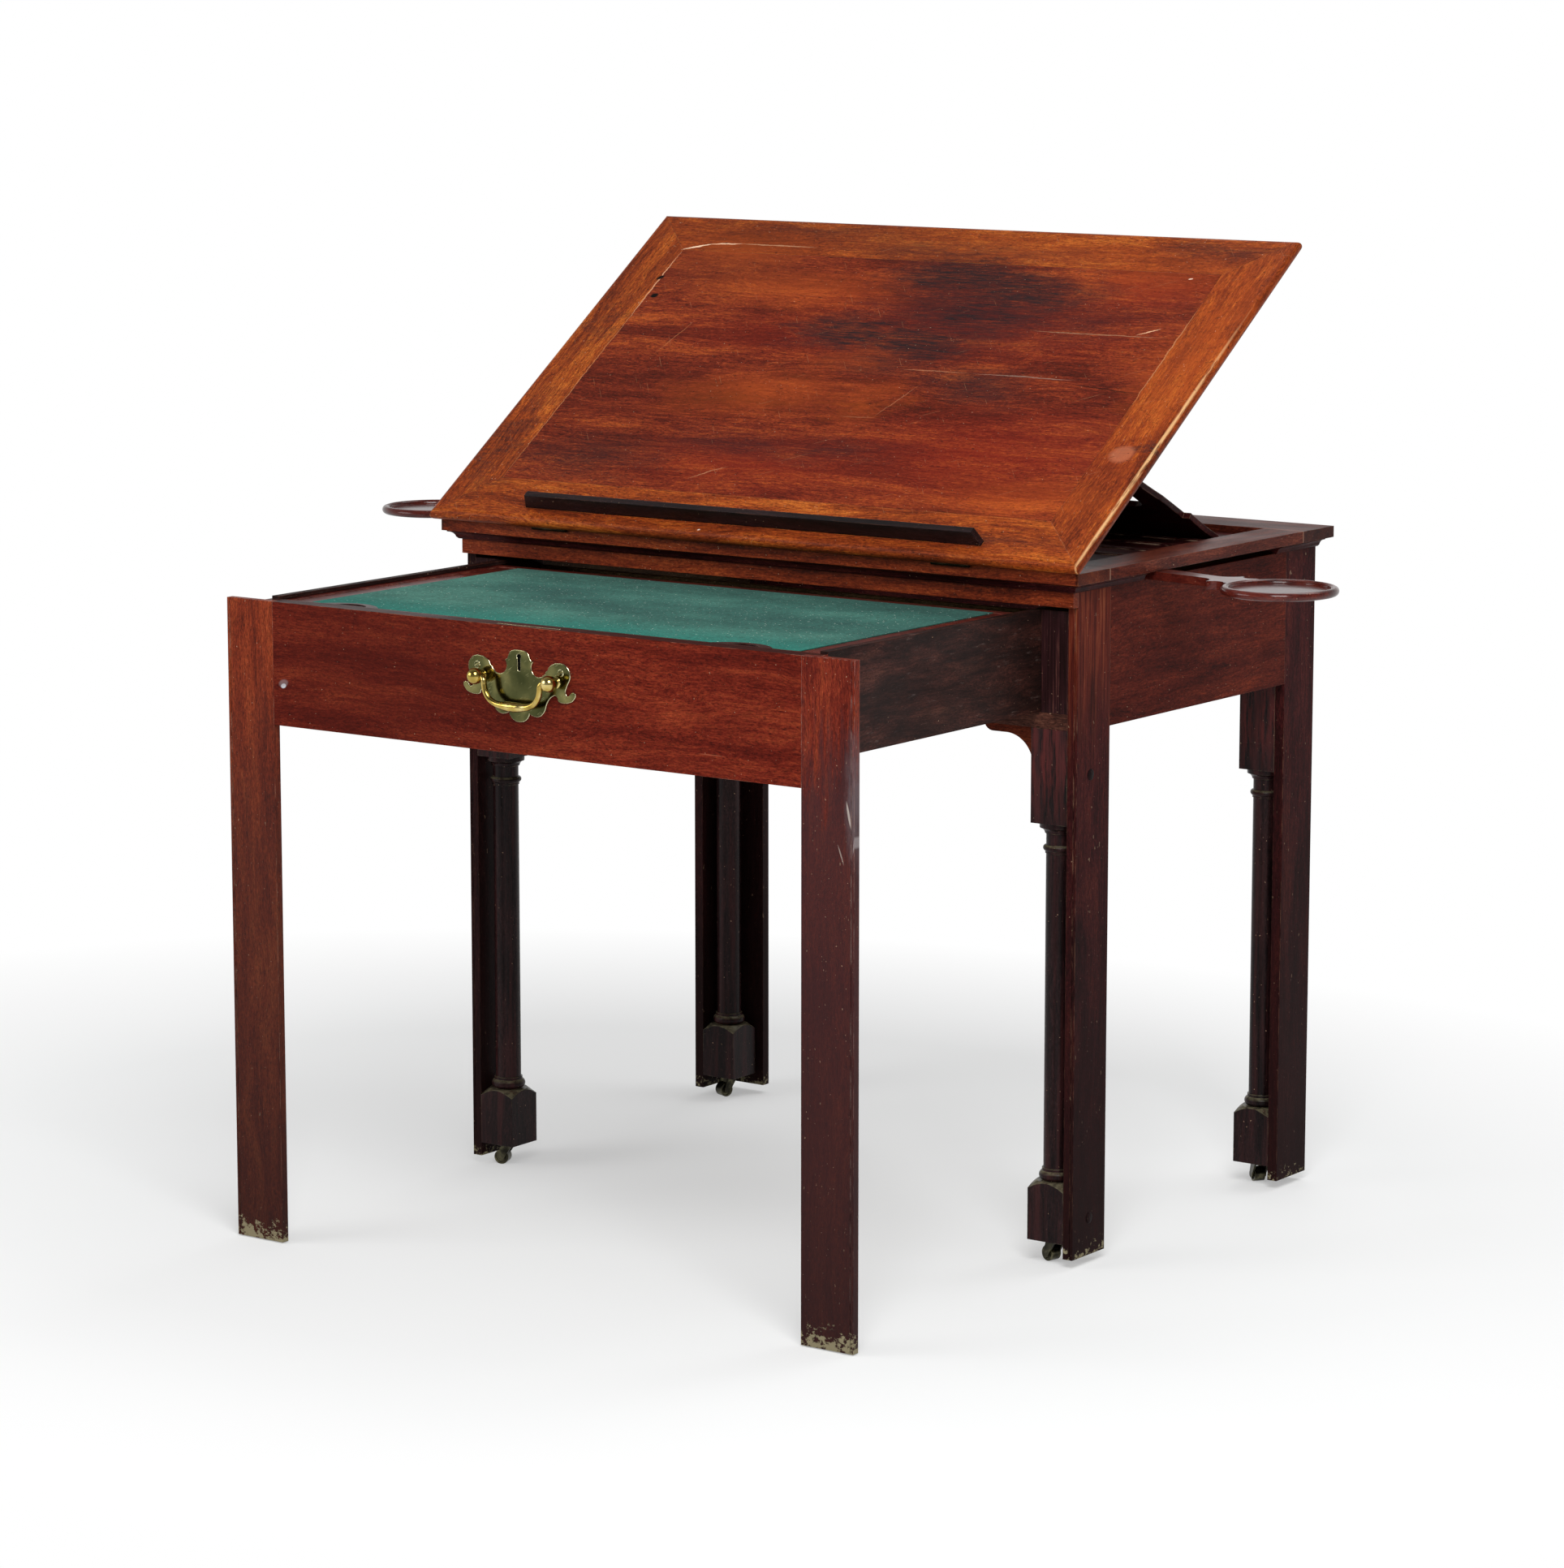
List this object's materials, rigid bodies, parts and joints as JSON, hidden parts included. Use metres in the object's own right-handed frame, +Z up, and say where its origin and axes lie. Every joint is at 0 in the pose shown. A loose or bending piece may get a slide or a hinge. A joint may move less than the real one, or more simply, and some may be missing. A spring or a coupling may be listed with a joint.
{
  "type": "architect table",
  "caption": "Table with a top raised on a folding easel, a drawer on its own front legs with a baize-lined slide, swing-out candle stands and casters behind board legs.",
  "frame": {"origin": "middle of the whole part's outline on the floor, top raised, drawer and candle stands out", "axes": "+X to the table's right seen from its front, +Y from the front to the back, +Z up"},
  "size_m": [1.3901, 0.9912, 1.1375],
  "materials": {
    "mahogany": "French polished mahogany, worn",
    "dark_mahogany": "dark stained mahogany, worn",
    "deal": "bare pine, aged",
    "brass": "lacquered brass, dulled",
    "iron": "bare iron pin",
    "baize": "woollen baize, short napped"
  },
  "bodies": {
    "carcass": {"leg_board_front_left": "mahogany", "leg_board_front_right": "mahogany", "leg_board_back_left": "mahogany", "leg_board_back_right": "mahogany", "side_panel_left": "mahogany", "side_panel_right": "mahogany", "back_panel": "mahogany", "frieze_rail": "mahogany", "bearer_rail": "dark_mahogany", "bracket_left": "dark_mahogany", "bracket_right": "dark_mahogany", "column_front_left": "dark_mahogany", "column_front_right": "dark_mahogany", "column_back_left": "dark_mahogany", "column_back_right": "dark_mahogany", "drawer_guides": "deal", "frame_rail_front": "mahogany", "frame_rail_back": "mahogany", "frame_rail_left": "mahogany", "frame_rail_right": "mahogany", "cove_moulding": "mahogany", "dust_board": "deal", "ratchet_board": "dark_mahogany", "stand_pivots": "iron", "top_hinge_leaves": "brass"},
    "lifting_top": {"top_panel": "mahogany", "top_border_front": "mahogany", "top_border_back": "mahogany", "top_border_left": "mahogany", "top_border_right": "mahogany", "top_hinge_straps": "brass", "easel_hinge_leaves": "brass"},
    "easel": {"easel_foot_rail": "dark_mahogany", "easel_side_left": "dark_mahogany", "easel_side_right": "dark_mahogany", "easel_top_rail": "dark_mahogany", "easel_hinge_knuckles": "brass"},
    "book_rest": {"book_rest": "dark_mahogany"},
    "drawer": {"drawer_front": "mahogany", "drawer_leg_left": "mahogany", "drawer_leg_right": "mahogany", "drawer_side_left": "mahogany", "drawer_side_right": "mahogany", "drawer_back": "deal", "drawer_bottom": "deal", "handle_plate": "brass"},
    "bail": {"bail": "brass"},
    "writing_slide": {"slide_board": "mahogany", "baize": "baize", "finger_pulls": "mahogany"},
    "candle_stand_left": {"candle_stand_left": "mahogany"},
    "candle_stand_right": {"candle_stand_right": "mahogany"},
    "caster_fork_front_left": {"caster_fork_front_left": "brass"},
    "caster_wheel_front_left": {"caster_wheel_front_left": "brass"},
    "caster_fork_front_right": {"caster_fork_front_right": "brass"},
    "caster_wheel_front_right": {"caster_wheel_front_right": "brass"},
    "caster_fork_back_left": {"caster_fork_back_left": "brass"},
    "caster_wheel_back_left": {"caster_wheel_back_left": "brass"},
    "caster_fork_back_right": {"caster_fork_back_right": "brass"},
    "caster_wheel_back_right": {"caster_wheel_back_right": "brass"}
  },
  "joints": [
    {"name": "top_tilt", "type": "hinge", "parent": "carcass", "child": "lifting_top", "pos_m": [0, -0.07255, 0.7969], "axis": [1, 0, 0], "range_deg": [-35, 0]},
    {"name": "easel_swing", "type": "hinge", "parent": "lifting_top", "child": "easel", "pos_m": [0, 0.10132, 0.92169], "axis": [1, 0, 0], "range_deg": [0, 61.86]},
    {"name": "book_rest_slide", "type": "slide", "parent": "lifting_top", "child": "book_rest", "axis": [0, -0.5736, 0.8192], "range_m": [-0.019, 0]},
    {"name": "drawer_slide", "type": "slide", "parent": "carcass", "child": "drawer", "axis": [0, 1, 0], "range_m": [0, 0.422]},
    {"name": "writing_slide_run", "type": "slide", "parent": "drawer", "child": "writing_slide", "axis": [0, -1, 0], "range_m": [-0.18, 0]},
    {"name": "bail_swing", "type": "hinge", "parent": "drawer", "child": "bail", "pos_m": [-0.01, -0.48795, 0.69], "axis": [-1, 0, 0], "range_deg": [0, 85]},
    {"name": "candle_stand_left_swing", "type": "hinge", "parent": "carcass", "child": "candle_stand_left", "pos_m": [-0.42875, 0.11355, 0.778], "axis": [0, 0, -1], "range_deg": [-19, 96]},
    {"name": "candle_stand_right_swing", "type": "hinge", "parent": "carcass", "child": "candle_stand_right", "pos_m": [0.42875, 0.11355, 0.778], "axis": [0, 0, 1], "range_deg": [0, 115]},
    {"name": "swivel_front_left", "type": "hinge", "parent": "carcass", "child": "caster_fork_front_left", "pos_m": [-0.3985, -0.01745, 0.02], "axis": [0, 0, 1], "continuous": true},
    {"name": "roll_front_left", "type": "hinge", "parent": "caster_fork_front_left", "child": "caster_wheel_front_left", "pos_m": [-0.40602, -0.02019, 0.009], "axis": [0.342, -0.9397, 0], "continuous": true},
    {"name": "swivel_front_right", "type": "hinge", "parent": "carcass", "child": "caster_fork_front_right", "pos_m": [0.3985, -0.01745, 0.02], "axis": [0, 0, 1], "continuous": true},
    {"name": "roll_front_right", "type": "hinge", "parent": "caster_fork_front_right", "child": "caster_wheel_front_right", "pos_m": [0.39077, -0.01538, 0.009], "axis": [-0.2588, -0.9659, 0], "continuous": true},
    {"name": "swivel_back_left", "type": "hinge", "parent": "carcass", "child": "caster_fork_back_left", "pos_m": [-0.3985, 0.43855, 0.02], "axis": [0, 0, 1], "continuous": true},
    {"name": "roll_back_left", "type": "hinge", "parent": "caster_fork_back_left", "child": "caster_wheel_back_left", "pos_m": [-0.40124, 0.43103, 0.009], "axis": [0.9397, -0.342, 0], "continuous": true},
    {"name": "swivel_back_right", "type": "hinge", "parent": "carcass", "child": "caster_fork_back_right", "pos_m": [0.3985, 0.43855, 0.02], "axis": [0, 0, 1], "continuous": true},
    {"name": "roll_back_right", "type": "hinge", "parent": "caster_fork_back_right", "child": "caster_wheel_back_right", "pos_m": [0.39237, 0.44369, 0.009], "axis": [-0.6428, -0.766, 0], "continuous": true}
  ],
  "couplings": [
    {"joint": "easel_swing", "follows": "top_tilt", "ratio": -1.7661}
  ]
}
